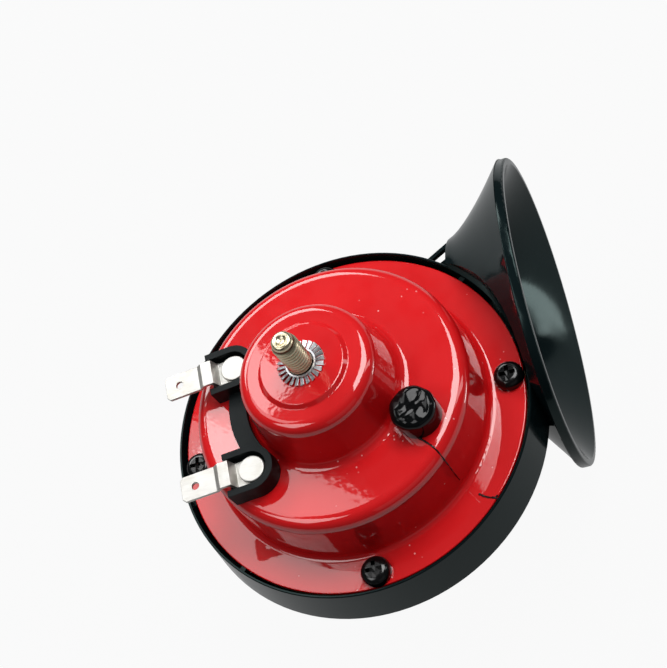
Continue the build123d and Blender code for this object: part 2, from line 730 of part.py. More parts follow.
def make_terminal(side):
    """Blade terminal: round foot, rise over the cup's open end, small dip and the blade."""
    top = CUP_FLOOR + BLADE_T
    crest = top + BLADE_RISE
    flat = crest - BLADE_DIP
    line = [(CUP_REACH, CUP_FLOOR), (RISE_START, CUP_FLOOR), (RISE_END, crest - BLADE_T),
            (DIP_START, crest - BLADE_T), (DIP_END, flat - BLADE_T), (BLADE_END, flat - BLADE_T)]
    upper = [(CUP_REACH, top), (RISE_START - BLADE_T, top), (RISE_END - BLADE_T, crest),
             (DIP_START + DIP_LEAN, crest), (DIP_END + DIP_LEAN, flat), (BLADE_END, flat)]
    profile = make_face(Polyline(*line, *reversed(upper), close=True))
    strip = Pos(0, side + BLADE_W / 2, 0) * extrude(Plane.XZ * profile, BLADE_W)
    strip += disc(BLADE_W / 2, CUP_FLOOR, BLADE_T, CUP_REACH, side)
    tip = strip.edges().filter_by(Axis.Z).sort_by(Axis.X)[-2:]
    strip = chamfer(tip, BLADE_T)
    strip -= disc(BLADE_HOLE_R, 0, 2 * CUP_H, BLADE_HOLE, side)
    strip -= disc(TERMINAL_RIVET_R, CUP_FLOOR, BLADE_T, CUP_REACH, side)
    return block_plane(PLATEAU_Z) * strip


def make_terminal_rivets():
    """Rivets that hold the terminals, the holder and the inner insulators together."""
    foot_top = CUP_FLOOR_Z + BLADE_T
    tail = UNDER_PLATEAU_Z - INSULATOR_T
    rivet = disc(TERMINAL_RIVET_R, tail, foot_top - tail)
    head = disc(TERMINAL_HEAD_R, foot_top, TERMINAL_HEAD_H)
    rivet += fillet(head.edges().sort_by(Axis.Z)[-1], TERMINAL_HEAD_ROUND)
    rivet += disc(TAIL_HEAD_R, tail - TAIL_HEAD_H, TAIL_HEAD_H)
    return Compound([Pos(x, y, 0) * rivet for x, y in rivet_places()])


def make_rivet_insulators():
    """Insulating washers under the plateau, one on each rivet."""
    washer = ring(INSULATOR_R, TERMINAL_RIVET_R, UNDER_PLATEAU_Z - INSULATOR_T, INSULATOR_T)
    return Compound([Pos(x, y, 0) * washer for x, y in rivet_places()])


# ---------------------------------------------------------------- adjuster and breaker

def make_adjusting_screw():
    """Slotted screw in the drawn collar; its foot presses the fixed contact through the pad."""
    top = PLATEAU_Z + ADJUSTER_TOP
    foot = FIXED_Z + FIXED_T + PAD_T
    screw = disc(ADJUSTER_R, foot, top - foot, ADJUSTER_X, ADJUSTER_Y)
    bottom = top - ADJUSTER_SLOT_W
    slot = block(4 * ADJUSTER_R, ADJUSTER_SLOT_W, ADJUSTER_SLOT_W, ADJUSTER_X, ADJUSTER_Y, bottom)
    return screw - slot


def make_screw_sealant():
    """Blob of sealant over the adjusting screw."""
    blob = disc(SEALANT_R, PLATEAU_Z, SEALANT_H, ADJUSTER_X, ADJUSTER_Y)
    blob = fillet(blob.edges().sort_by(Axis.Z)[-1], SEALANT_EDGE)
    blob -= disc(ADJUSTER_R, PLATEAU_Z, ADJUSTER_TOP, ADJUSTER_X, ADJUSTER_Y)
    return blob - cover_skin(0.0, SHEET)


def breaker_plane(height):
    """Plane at the breaker's base whose x runs along the strips to the adjuster."""
    radius = hypot(ADJUSTER_X, ADJUSTER_Y)
    turn = radians(degrees(atan(ADJUSTER_Y / ADJUSTER_X)) - BREAKER_TURN)
    base = (radius * cos(turn), radius * sin(turn), height)
    along = (ADJUSTER_X - base[0], ADJUSTER_Y - base[1], 0.0)
    return Plane(origin=base, x_dir=along, z_dir=UP)


def make_breaker_bracket():
    """Folded bracket welded under the plateau."""
    bottom = SPRING_Z + SPRING_T + INSULATION_T
    rise = UNDER_PLATEAU_Z - bottom
    body = block(BRACKET_L, BRACKET_W, rise, 0, 0, 0)
    body -= block(BRACKET_L, BRACKET_W, rise - 2 * BRACKET_T, BRACKET_T, 0, BRACKET_T)
    body -= disc(BREAKER_RIVET_R, 0, BRACKET_T)
    return breaker_plane(bottom) * body


def strip_blank(start, end, thickness):
    """Flat strip between two distances along the breaker."""
    return block(end - start, STRIP_W, thickness, (start + end) / 2, 0, 0)


def make_contact_tag():
    """Clamped root of the moving contact, with its solder tag behind the stack."""
    tag = strip_blank(-BRACKET_L / 2 - TAG_TAIL, BRACKET_L / 2, SPRING_T)
    return breaker_plane(SPRING_Z) * (tag - disc(STRIP_HOLE_R, 0, SPRING_T))


def make_contact_spring():
    """Moving spring strip with the side tab that the armature's rim lifts."""
    axis = breaker_plane(SPRING_Z).to_local_coords(Vector(0, 0, SPRING_Z))
    tab_end = axis.Y - ARMATURE_R + TAB_OVERLAP
    strip = strip_blank(BRACKET_L / 2, SPRING_REACH, SPRING_T)
    return breaker_plane(SPRING_Z) * (strip + block(TAB_W, tab_end, SPRING_T, axis.X, tab_end / 2, 0))


def make_fixed_contact():
    """Fixed contact strip, set by the adjusting screw."""
    strip = strip_blank(-BRACKET_L / 2, FIXED_REACH, FIXED_T)
    return breaker_plane(FIXED_Z) * (strip - disc(STRIP_HOLE_R, 0, FIXED_T))


def make_moving_point():
    """Tungsten point on the spring's underside, down to half the contact gap's height."""
    return breaker_plane(SPRING_Z - CONTACT_T / 2) * disc(CONTACT_R, 0, CONTACT_T / 2, CONTACT_REACH)


def make_fixed_point():
    """Tungsten point on the fixed strip."""
    return breaker_plane(FIXED_Z + FIXED_T) * disc(CONTACT_R, 0, CONTACT_T / 2, CONTACT_REACH)


def breaker_levels():
    """Bottom and thickness of the insulators over, between and under the strips."""
    return [
        (SPRING_Z + SPRING_T, INSULATION_T),
        (FIXED_Z + FIXED_T, CONTACT_T),
        (FIXED_Z - INSULATION_T, INSULATION_T),
    ]


def make_breaker_insulators():
    """Insulating plates of the breaker stack."""
    plates = []
    for bottom, thickness in breaker_levels():
        plate = block(BRACKET_L, BRACKET_W, thickness, 0, 0, 0) - disc(BREAKER_RIVET_R, 0, thickness)
        plates.append(breaker_plane(bottom) * plate)
    return Compound(plates)


def make_breaker_rivet():
    """Rivet through the breaker stack and the bracket's foot."""
    foot = FIXED_Z - INSULATION_T
    top = SPRING_Z + SPRING_T + INSULATION_T + BRACKET_T
    rivet = disc(BREAKER_RIVET_R, 0, top - foot)
    rivet += disc(BREAKER_HEAD_R, -BREAKER_HEAD_H, BREAKER_HEAD_H)
    rivet += disc(BREAKER_HEAD_R, top - foot, BREAKER_HEAD_H / 2)
    return breaker_plane(foot) * rivet


def make_adjuster_pad():
    """Insulating pad between the adjusting screw and the fixed strip."""
    return disc(PAD_R, FIXED_Z + FIXED_T, PAD_T, ADJUSTER_X, ADJUSTER_Y)


# ---------------------------------------------------------------- output

def pieces():
    """Every piece of the horn by its node name."""
    upper_side, lower_side = blade_sides()
    return {
        "horn_shell": make_horn_shell(),
        "duct_plate": make_duct_plate(),
        "rear_cover": make_rear_cover(),
        "cover_screws": make_cover_screws(),
        "rear_gasket": make_rear_gasket(),
        "diaphragm": make_diaphragm(),
        "front_gasket": make_front_gasket(),
        "mounting_stud": make_mounting_stud(),
        "toothed_washer": make_toothed_washer(),
        "pole_core": make_pole_core(),
        "coil_bobbin": make_coil_bobbin(),
        "coil_winding": make_coil_winding(),
        "armature": make_armature(),
        "stiffener_washer": make_stiffener_washer(),
        "armature_nut": make_armature_nut(),
        "terminal_block": make_terminal_block(),
        "terminal_upper": make_terminal(upper_side),
        "terminal_lower": make_terminal(lower_side),
        "terminal_rivets": make_terminal_rivets(),
        "rivet_insulators": make_rivet_insulators(),
        "adjusting_screw": make_adjusting_screw(),
        "screw_sealant": make_screw_sealant(),
        "breaker_bracket": make_breaker_bracket(),
        "contact_tag": make_contact_tag(),
        "contact_spring": make_contact_spring(),
        "moving_point": make_moving_point(),
        "fixed_contact": make_fixed_contact(),
        "fixed_point": make_fixed_point(),
        "breaker_insulators": make_breaker_insulators(),
        "breaker_rivet": make_breaker_rivet(),
        "adjuster_pad": make_adjuster_pad(),
    }


def main():
    """Build every piece and write its STEP file."""
    os.makedirs("parts", exist_ok=True)
    for name, piece in pieces().items():
        export_step(piece, f"parts/{name}.step")


main()
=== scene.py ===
import logging
import math
from dataclasses import dataclass
from enum import Enum

import bmesh
import bpy
from mathutils import Matrix, Vector, noise


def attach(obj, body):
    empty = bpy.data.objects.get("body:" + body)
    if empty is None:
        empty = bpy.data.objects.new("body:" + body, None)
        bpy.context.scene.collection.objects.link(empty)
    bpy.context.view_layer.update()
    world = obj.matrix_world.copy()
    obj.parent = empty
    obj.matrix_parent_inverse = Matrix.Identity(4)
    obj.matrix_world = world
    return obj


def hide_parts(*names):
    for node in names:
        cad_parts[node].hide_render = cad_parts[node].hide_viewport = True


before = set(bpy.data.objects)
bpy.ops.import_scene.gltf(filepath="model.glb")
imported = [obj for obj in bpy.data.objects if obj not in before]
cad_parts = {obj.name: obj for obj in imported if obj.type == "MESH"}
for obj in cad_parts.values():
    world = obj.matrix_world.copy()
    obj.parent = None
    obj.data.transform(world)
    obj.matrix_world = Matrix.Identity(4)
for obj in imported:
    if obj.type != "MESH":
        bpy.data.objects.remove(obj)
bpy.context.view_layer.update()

# Looks of an electric snail horn.  Lengths in the classes are millimetres in the CAD frame: the
# origin is where the bracket bears on the toothed washer, +Z runs out along the stud and +X is the
# way the bell faces.

MM = 0.001
WELD = 1e-6  # metres within which the points of a copied or wound mesh are joined
FINE_WELD = 1e-7  # the same for a turned mesh and for cuts
WAVE_UNIT = 0.05  # a wave texture goes through a radian in this share of its scale's inverse
LOG = logging.getLogger("snail_horn")


class Body(Enum):
    """The rigid bodies that new pieces ride on."""

    HOUSING = "housing"
    ARMATURE = "armature"


class Marks(Enum):
    """How the marks of a tool or the turns of a wire lie about the stud's axis."""

    RINGS = "RINGS"
    BANDS = "BANDS"


# ---------------------------------------------------------------- shader helpers


def srgb(code: str) -> tuple[float, float, float, float]:
    """Turn an sRGB hex value into the linear colour that shaders take.

    Args:
        code: six hex digits.

    Returns:
        Linear red, green, blue and an alpha of one.
    """
    channels = [int(code[i:i + 2], 16) / 255 for i in (0, 2, 4)]
    linear = [c / 12.92 if c <= 0.04045 else ((c + 0.055) / 1.055) ** 2.4 for c in channels]
    return (*linear, 1.0)


def per_metre(size_mm: float) -> float:
    """Scale at which a texture's cells or blotches are size_mm across."""
    return 1 / (size_mm * MM)


def feed(node: bpy.types.Node, links: dict) -> None:
    """Link what feeds a node's inputs.

    Args:
        node: the node that is fed.
        links: input names or places, and the socket that feeds each; a node gives its first output.
    """
    for key, source in links.items():
        socket = source.outputs[0] if isinstance(source, bpy.types.Node) else source
        node.id_data.links.new(socket, node.inputs[key])


def add_node(tree: bpy.types.NodeTree, kind: str, settings: dict | None = None,
             links: dict | None = None) -> bpy.types.Node:
    """Add a node with its settings and links.

    Args:
        tree: the node tree that takes it.
        kind: the node's class name after the words Shader Node.
        settings: attributes and input values by name; a number names an input by its place.
        links: what feeds its inputs, as feed takes it.

    Returns:
        The new node.
    """
    node = tree.nodes.new("ShaderNode" + kind)
    for key, value in (settings or {}).items():
        if isinstance(key, str) and hasattr(node, key):
            setattr(node, key, value)
        else:
            node.inputs[key].default_value = value
    feed(node, links or {})
    return node


@dataclass(frozen=True)
class Finish:
    """A surface: its common name, its colour as sRGB hex and how it takes the light."""

    name: str
    colour: str
    roughness: float = 0.4
    metallic: float = 0.0
    ior: float = 1.5
    specular: float = 0.5
    gloss_tint: str = "FFFFFF"
    coat: float = 0.0
    coat_ior: float = 1.5
    coat_roughness: float = 0.03

    def build(self) -> bpy.types.Material:
        """Make the material, once.

        Returns:
            The material, which later calls share.
        """
        found = bpy.data.materials.get(self.name)
        if found:
            return found
        material = bpy.data.materials.new(self.name)
        material.use_nodes = True
        tree = material.node_tree
        shader = tree.nodes["Principled BSDF"]
        for socket, value in (
                ("Base Color", srgb(self.colour)), ("Roughness", self.roughness),
                ("Metallic", self.metallic), ("IOR", self.ior),
                ("Specular IOR Level", self.specular), ("Specular Tint", srgb(self.gloss_tint)),
                ("Coat Weight", self.coat), ("Coat IOR", self.coat_ior),
                ("Coat Roughness", self.coat_roughness)):
            shader.inputs[socket].default_value = value
        self.pattern(tree, shader, add_node(tree, "TexCoord").outputs["Object"])
        return material

    def pattern(self, tree: bpy.types.NodeTree, shader: bpy.types.Node,
                place: bpy.types.NodeSocket) -> None:
        """Add what varies over the surface; a plain finish adds nothing."""


@dataclass(frozen=True)
class Enamel(Finish):
    """Stoved enamel on pressed steel: a clear gloss, orange peel, thin tint drift, dust nibs."""

    deep: str = "CC0D12"
    drift_mm: float = 30.0
    peel_mm: float = 1.6
    peel_depth_mm: float = 0.008
    nib_mm: float = 2.6
    nib_share: float = 0.06
    nib_fade: float = 1.6
    nib_colour: str = "EFA0A0"
    dusty_mm: float = 9.0
    haze_mm: float = 6.0
    haze_rise: float = 1.9

    def pattern(self, tree: bpy.types.NodeTree, shader: bpy.types.Node,
                place: bpy.types.NodeSocket) -> None:
        """Tint drift, orange peel and pale dust nibs caught in the paint.

        Args:
            tree: the material's tree.
            shader: the shader that the patterns feed.
            place: object coordinates, in metres.
        """
        drift = add_node(tree, "TexNoise", {"Scale": per_metre(self.drift_mm), "Detail": 1.0},
                         {"Vector": place})
        depth = add_node(tree, "MapRange", {"From Min": 0.2, "From Max": 0.8}, {"Value": drift})
        paint = add_node(tree, "Mix", {
            "data_type": "RGBA", 6: srgb(self.colour), 7: srgb(self.deep)}, {0: depth})
        cells = add_node(tree, "TexVoronoi", {"Scale": per_metre(self.nib_mm)}, {"Vector": place})
        nibs = add_node(tree, "MapRange", {
            "From Min": self.nib_share, "From Max": self.nib_share * self.nib_fade,
            "To Min": 1.0, "To Max": 0.0}, {"Value": cells})
        dust = add_node(tree, "TexNoise", {"Scale": per_metre(self.dusty_mm)}, {"Vector": place})
        dusty = add_node(tree, "MapRange", {"From Min": 0.52, "From Max": 0.6}, {"Value": dust})
        dots = add_node(tree, "Math", {"operation": "MULTIPLY"}, {0: nibs, 1: dusty})
        coated = add_node(tree, "Mix", {"data_type": "RGBA", 7: srgb(self.nib_colour)},
                          {0: dots, 6: paint.outputs[2]})
        peel = add_node(tree, "TexNoise", {"Scale": per_metre(self.peel_mm), "Detail": 1.0},
                        {"Vector": place})
        bump = add_node(tree, "Bump", {"Distance": self.peel_depth_mm * MM}, {"Height": peel})
        haze = add_node(tree, "TexNoise", {"Scale": per_metre(self.haze_mm)}, {"Vector": place})
        gloss = add_node(tree, "MapRange", {
            "From Min": 0.3, "From Max": 0.75,
            "To Min": self.roughness, "To Max": self.roughness * self.haze_rise}, {"Value": haze})
        feed(shader, {"Base Color": coated.outputs[2], "Roughness": gloss,
                      "Normal": bump, "Coat Normal": bump})


@dataclass(frozen=True)
class Moulding(Finish):
    """Injection-moulded plastic: an even skin with a faint flow and finger marks in the gloss."""

    pale: str = "172224"
    pale_share: float = 0.6
    flow_stretch: float = 1.7
    grain_mm: float = 0.7
    grain_depth_mm: float = 0.004
    smudge_mm: float = 14.0
    smudge_roughness: float = 0.22

    def pattern(self, tree: bpy.types.NodeTree, shader: bpy.types.Node,
                place: bpy.types.NodeSocket) -> None:
        """Flow marks in the colour, smudges in the gloss and a fine skin.

        Args:
            tree: the material's tree.
            shader: the shader that the patterns feed.
            place: object coordinates, in metres.
        """
        flow = add_node(tree, "TexNoise", {
            "Scale": per_metre(self.smudge_mm * self.flow_stretch)}, {"Vector": place})
        marks = add_node(tree, "MapRange", {
            "From Min": 0.3, "From Max": 0.8, "To Max": self.pale_share}, {"Value": flow})
        tint = add_node(tree, "Mix", {
            "data_type": "RGBA", 6: srgb(self.colour), 7: srgb(self.pale)}, {0: marks})
        fingers = add_node(tree, "TexNoise", {"Scale": per_metre(self.smudge_mm), "Detail": 4.0},
                           {"Vector": place})
        smudges = add_node(tree, "MapRange", {
            "From Min": 0.45, "From Max": 0.72,
            "To Min": self.roughness, "To Max": self.smudge_roughness}, {"Value": fingers})
        grain = add_node(tree, "TexNoise", {"Scale": per_metre(self.grain_mm), "Detail": 3.0},
                         {"Vector": place})
        bump = add_node(tree, "Bump", {"Distance": self.grain_depth_mm * MM}, {"Height": grain})
        feed(shader, {"Base Color": tint.outputs[2], "Roughness": smudges, "Normal": bump})


@dataclass(frozen=True)
class Plate(Finish):
    """Rolled, drawn or plated metal: fine lines along one way and patches in the plating."""

    patch: str = "8C8C90"
    patch_mm: float = 3.0
    patch_share: float = 0.5
    line_mm: float = 0.25
    line_length: float = 14.0
    line_depth_mm: float = 0.006
    smoothest: float = 0.75
    roughest: float = 1.35
    run: tuple[float, float, float] = (1.0, 0.0, 0.0)

    def pattern(self, tree: bpy.types.NodeTree, shader: bpy.types.Node,
                place: bpy.types.NodeSocket) -> None:
        """Patchy plating, and rolling lines that the roughness follows.

        Args:
            tree: the material's tree.
            shader: the shader that the patterns feed.
            place: object coordinates, in metres.
        """
        cloud = add_node(tree, "TexNoise", {"Scale": per_metre(self.patch_mm), "Detail": 3.0},
                         {"Vector": place})
        patches = add_node(tree, "MapRange", {
            "From Min": 0.42, "From Max": 0.68, "To Max": self.patch_share}, {"Value": cloud})
        plating = add_node(tree, "Mix", {
            "data_type": "RGBA", 6: srgb(self.colour), 7: srgb(self.patch)}, {0: patches})
        along = add_node(tree, "Mapping", {
            "Scale": tuple(1 / (1 + self.line_length * r) for r in self.run)}, {"Vector": place})
        lines = add_node(tree, "TexNoise", {"Scale": per_metre(self.line_mm)}, {"Vector": along})
        gloss = add_node(tree, "MapRange", {
            "From Min": 0.3, "From Max": 0.7, "To Min": self.roughness * self.smoothest,
            "To Max": self.roughness * self.roughest}, {"Value": lines})
        bump = add_node(tree, "Bump", {"Distance": self.line_depth_mm * MM}, {"Height": lines})
        feed(shader, {"Base Color": plating.outputs[2], "Roughness": gloss, "Normal": bump})


@dataclass(frozen=True)
class Threaded(Plate):
    """Plated thread about the Z axis, with painted shade darkening the thread's roots."""

    root_shade: str = "3A2C14"
    root_r_mm: float = 2.55
    crest_r_mm: float = 2.9
    tip_from_mm: float = 10.2
    tip_to_mm: float = 10.5

    def pattern(self, tree: bpy.types.NodeTree, shader: bpy.types.Node,
                place: bpy.types.NodeSocket) -> None:
        """Paint shade into the roots of the thread, but not the tip, mixed over the plating's own
        patches.

        Args:
            tree: the material's tree.
            shader: the shader that the patterns feed.
            place: object coordinates, in metres.
        """
        super().pattern(tree, shader, place)
        plating = shader.inputs["Base Color"].links[0].from_socket
        flat = add_node(tree, "VectorMath", {"operation": "MULTIPLY", 1: (1, 1, 0)}, {0: place})
        radius = add_node(tree, "VectorMath", {"operation": "LENGTH"}, {0: flat})
        crest = add_node(tree, "MapRange", {
            "From Min": self.root_r_mm * MM, "From Max": self.crest_r_mm * MM},
            {"Value": radius.outputs["Value"]})
        height = add_node(tree, "SeparateXYZ", None, {0: place}).outputs["Z"]
        tip = add_node(tree, "MapRange", {
            "From Min": self.tip_from_mm * MM, "From Max": self.tip_to_mm * MM},
            {"Value": height})
        unshaded = add_node(tree, "Math", {"operation": "MAXIMUM"}, {0: crest, 1: tip})
        # painted shade: near the root radius the plating turns dark brown, except at the tip
        mixed = add_node(tree, "Mix", {"data_type": "RGBA", 6: srgb(self.root_shade)},
                         {0: unshaded, 7: plating})
        feed(shader, {"Base Color": mixed.outputs[2]})


@dataclass(frozen=True)
class Turned(Finish):
    """Turned or wound metal: fine rings round the stud's axis, darker in their grooves as painted
    shade.
    """

    groove_shade: str = "303032"
    pitch_mm: float = 0.35
    depth_mm: float = 0.02
    waver: float = 0.4
    marks: Marks = Marks.RINGS

    def pattern(self, tree: bpy.types.NodeTree, shader: bpy.types.Node,
                place: bpy.types.NodeSocket) -> None:
        """Rings across the face, or bands up the side, at the tool's or the wire's pitch, with
        painted shade in the troughs.

        Args:
            tree: the material's tree.
            shader: the shader that the patterns feed.
            place: object coordinates, in metres.
        """
        wave = add_node(tree, "TexWave", {
            "wave_type": self.marks.value, "rings_direction": "Z", "bands_direction": "Z",
            "Scale": WAVE_UNIT / (self.pitch_mm * MM) * math.tau, "Distortion": self.waver},
            {"Vector": place}).outputs["Fac"]
        # painted shade: the wave's troughs, which the bump sinks, take the darker groove colour
        tint = add_node(tree, "Mix", {
            "data_type": "RGBA", 6: srgb(self.groove_shade), 7: srgb(self.colour)}, {0: wave})
        bump = add_node(tree, "Bump", {"Distance": self.depth_mm * MM}, {"Height": wave})
        feed(shader, {"Base Color": tint.outputs[2], "Normal": bump})


@dataclass(frozen=True)
class Board(Finish):
    """Pressed fibre, paper or cast nylon: mottled and matt."""

    mottle: str = "5A3A20"
    mottle_mm: float = 1.2
    depth_mm: float = 0.01

    def pattern(self, tree: bpy.types.NodeTree, shader: bpy.types.Node,
                place: bpy.types.NodeSocket) -> None:
        """Mottled colour and a fibrous skin.

        Args:
            tree: the material's tree.
            shader: the shader that the patterns feed.
            place: object coordinates, in metres.
        """
        spots = add_node(tree, "TexNoise", {"Scale": per_metre(self.mottle_mm), "Detail": 4.0},
                         {"Vector": place})
        mottling = add_node(tree, "MapRange", {"From Min": 0.35, "From Max": 0.7},
                            {"Value": spots})
        tint = add_node(tree, "Mix", {
            "data_type": "RGBA", 6: srgb(self.colour), 7: srgb(self.mottle)}, {0: mottling})
        bump = add_node(tree, "Bump", {"Distance": self.depth_mm * MM}, {"Height": spots})
        feed(shader, {"Base Color": tint.outputs[2], "Normal": bump})


# Stoved red enamel over the pressed cover: deep, clear, a little uneven, so lamps stay sharp in it.
RED_ENAMEL = Enamel("red_enamel_pressed_steel", "DE1218", roughness=0.4, specular=0.1, coat=1.0,
                    coat_ior=1.7, coat_roughness=0.04)
# Moulded ABS in a polished tool: near black, with a green-blue cast in its gloss.
BLACK_ABS = Moulding("black_abs_polished_moulding", "061012", roughness=0.09, specular=0.24,
                     gloss_tint="DAFFFB")
# Satin phenolic holder: dull black with a dry grain.
BLACK_PHENOLIC = Moulding("black_phenolic_moulding", "081012", roughness=0.42, specular=0.15,
                          pale="12191A", smudge_roughness=0.55, grain_mm=0.4, grain_depth_mm=0.01,
                          smudge_mm=5.0)
# Cured sealing compound: wet black, glassy, with soft pull marks.
SEALANT = Moulding("black_sealing_compound", "060708", roughness=0.07, specular=0.26,
                   pale="101213", smudge_roughness=0.14, grain_mm=2.6, grain_depth_mm=0.01,
                   smudge_mm=3.0)
# Black zinc on steel screws: dark gloss with a cool edge.
BLACK_ZINC = Plate("black_zinc_steel", "08090A", roughness=0.16, metallic=0.0, specular=0.4,
                   coat=0.2, patch="121314", patch_mm=1.5)
# Yellow passivated zinc on a rolled thread: pale gold with duller, browner patches, and painted
# shade in the roots.
YELLOW_ZINC = Threaded("yellow_passivated_zinc_steel", "E0D6B8", roughness=0.28, metallic=1.0,
                       patch="C6B88C", patch_mm=2.2, line_mm=0.2, line_depth_mm=0.004)
# Bright zinc on spring steel: cold and silvery with darker patches.
BRIGHT_ZINC = Plate("bright_zinc_steel", "DDDFE2", roughness=0.38, metallic=1.0, patch="A9AEB5",
                    patch_mm=1.4)
# Tin-plated brass blade: near white, faintly lined along the rolling.
TIN_PLATE = Plate("tin_plated_rolled_brass", "D0CFCB", roughness=0.46, metallic=1.0,
                  patch="BEBAB0", patch_mm=4.5, line_mm=0.18, line_depth_mm=0.003)
# Phosphor bronze strip: warm rolled metal.
BRONZE = Plate("phosphor_bronze_strip", "C08A4E", roughness=0.3, metallic=1.0, patch="9A6A38")
# Turned soft iron: grey with tool rings, their grooves painted darker as shade.
SOFT_IRON = Turned("turned_soft_iron", "8E9093", roughness=0.38, metallic=1.0, groove_shade="6E7073",
                   depth_mm=0.008)
# Enamelled copper wire: brown-red varnish, drawn as bands coarser than the real turns, with painted
# shade between them.
COPPER_WIRE = Turned("enamelled_copper_wire", "9C4A1E", roughness=0.28, metallic=0.7,
                     groove_shade="3E1A0A", pitch_mm=0.6, depth_mm=0.12, marks=Marks.BANDS)
# Rolled spring steel: cool grey with a straight grain.
SPRING_STEEL = Plate("rolled_spring_steel", "A7ABB0", roughness=0.28, metallic=1.0,
                     patch="8D9196", line_length=30)
# Ground tungsten: dark, fine grey.
TUNGSTEN = Plate("ground_tungsten", "75777A", roughness=0.34, metallic=1.0, patch="606265",
                 line_mm=0.12)
# Oiled gasket paper: tan and fibrous.
GASKET_PAPER = Board("oiled_gasket_paper", "8A7650", roughness=0.8, mottle="6C5A3A",
                     mottle_mm=0.9)
# Phenolic board: brown laminate.
FIBRE_BOARD = Board("phenolic_fibre_board", "6E3B1C", roughness=0.5, mottle="54290F",
                    mottle_mm=0.7)
# Natural nylon: milky and waxy.
NYLON = Board("natural_nylon_moulding", "D9D4C6", roughness=0.42, mottle="CFC8B6", mottle_mm=3.0,
              depth_mm=0.003)


# ---------------------------------------------------------------- mesh helpers


def dress(finish: Finish, *nodes: str) -> None:
    """Give CAD nodes their material.

    Args:
        finish: what they are dressed in.
        nodes: the nodes' names.
    """
    for node in nodes:
        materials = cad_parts[node].data.materials
        materials.clear()
        materials.append(finish.build())
        LOG.info("dressed %s in %s", node, finish.name)


def add_piece(name: str, bm: bmesh.types.BMesh, finish: Finish,
              replaced: tuple[str, ...] = (), body: Body = Body.HOUSING, sharp_deg: float = 34.0,
              weighted: bool = False) -> bpy.types.Object:
    """Turn a bmesh into a finished piece of the horn.

    Args:
        name: the piece's name.
        bm: its mesh in metres, which is freed.
        finish: what it is dressed in.
        replaced: the CAD nodes that it stands for.
        body: the rigid body that it rides on.
        sharp_deg: edges that turn more than this stay sharp.
        weighted: whether large flats keep their shading flat beside rounded edges.

    Returns:
        The new object.
    """
    bmesh.ops.recalc_face_normals(bm, faces=bm.faces)
    for face in bm.faces:
        face.smooth = True
    for edge in bm.edges:
        edge.smooth = not edge.is_manifold or edge.calc_face_angle(0.0) < math.radians(sharp_deg)
    data = bpy.data.meshes.new(name)
    bm.to_mesh(data)
    bm.free()
    data.materials.append(finish.build())
    piece = bpy.data.objects.new(name, data)
    bpy.context.scene.collection.objects.link(piece)
    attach(piece, body.value)
    if replaced:
        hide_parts(*replaced)
    if weighted:
        piece.modifiers.new("flat_shading", "WEIGHTED_NORMAL").keep_sharp = True
    LOG.info("built %s: %d faces", name, len(data.polygons))
    return piece


def merged(node: str) -> bmesh.types.BMesh:
    """Copy a CAD node's mesh and join its loose triangles.

    Args:
        node: the CAD node.

    Returns:
        A closed mesh of the same shape.
    """
    bm = bmesh.new()
    bm.from_mesh(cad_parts[node].data)
    bmesh.ops.remove_doubles(bm, verts=bm.verts, dist=WELD)
    return bm


def softened(node: str, width_mm: float, least_deg: float = 40.0) -> bmesh.types.BMesh:
    """Copy a CAD node and round its sharp edges a little.

    Args:
        node: the CAD node.
        width_mm: width of the rounding.
        least_deg: edges that turn less than this are left.

    Returns:
        The softened mesh.
    """
    bm = merged(node)
    bmesh.ops.dissolve_limit(bm, angle_limit=math.radians(1.0), verts=bm.verts, edges=bm.edges)
    least = math.radians(least_deg)
    sharp = [edge for edge in bm.edges if edge.is_manifold and edge.calc_face_angle(0.0) > least]
    bmesh.ops.bevel(bm, geom=sharp, offset=width_mm * MM, offset_type="OFFSET", segments=2,
                    profile=0.5, affect="EDGES", clamp_overlap=True, material=-1)
    return bm


def draw_line(bm: bmesh.types.BMesh, points: tuple[tuple[float, float], ...]) -> list:
    """Draw an open line beside the Z axis, ready to be spun.

    Args:
        bm: the mesh that takes it.
        points: each corner's radius and height, in millimetres.

    Returns:
        The line's vertices and edges.
    """
    verts = [bm.verts.new((radius * MM, 0, height * MM)) for radius, height in points]
    return verts + [bm.edges.new(pair) for pair in zip(verts, verts[1:])]


def spin_line(bm: bmesh.types.BMesh, points: tuple[tuple[float, float], ...], steps: int) -> None:
    """Spin an open line once round the Z axis.

    Args:
        bm: the mesh that takes the surface.
        points: radius and height in millimetres, from the axis or a rim to the other end.
        steps: facets round the turn.
    """
    bmesh.ops.spin(bm, geom=draw_line(bm, points), cent=(0, 0, 0), axis=(0, 0, 1),
                   dvec=(0, 0, 0), angle=math.tau, steps=steps, use_merge=True)
    bmesh.ops.remove_doubles(bm, verts=bm.verts, dist=FINE_WELD)


def rounded(points: list[Vector], rounds: int = 2) -> list[Vector]:
    """Cut the corners of a line until it runs smoothly.

    Args:
        points: the line's corners.
        rounds: how often each corner is cut.

    Returns:
        The smoother line, with the same ends.
    """
    for _ in range(rounds):
        cut = [points[0]]
        for first, second in zip(points, points[1:]):
            cut += [first.lerp(second, 0.25), first.lerp(second, 0.75)]
        points = cut + [points[-1]]
    return points


def tube(bm: bmesh.types.BMesh, path: list[Vector], radii: list[float], sides: int = 8) -> None:
    """Skin a round tube along a path, closed at both ends.

    Args:
        bm: the mesh that takes it.
        path: points in metres.
        radii: the tube's radius at each point, in metres.
        sides: facets round it.
    """
    rings = []
    for i, (point, radius) in enumerate(zip(path, radii)):
        ahead = path[min(i + 1, len(path) - 1)] - path[max(i - 1, 0)]
        place = Matrix.Translation(point) @ ahead.to_track_quat("Z", "Y").to_matrix().to_4x4()
        made = bmesh.ops.create_circle(bm, segments=sides, radius=radius, matrix=place)
        rings.append(list(dict.fromkeys(e for vert in made["verts"] for e in vert.link_edges)))
    for first, second in zip(rings, rings[1:]):
        bmesh.ops.bridge_loops(bm, edges=first + second)
    bmesh.ops.contextual_create(bm, geom=rings[0])
    bmesh.ops.contextual_create(bm, geom=rings[-1])


# ---------------------------------------------------------------- sub-assemblies


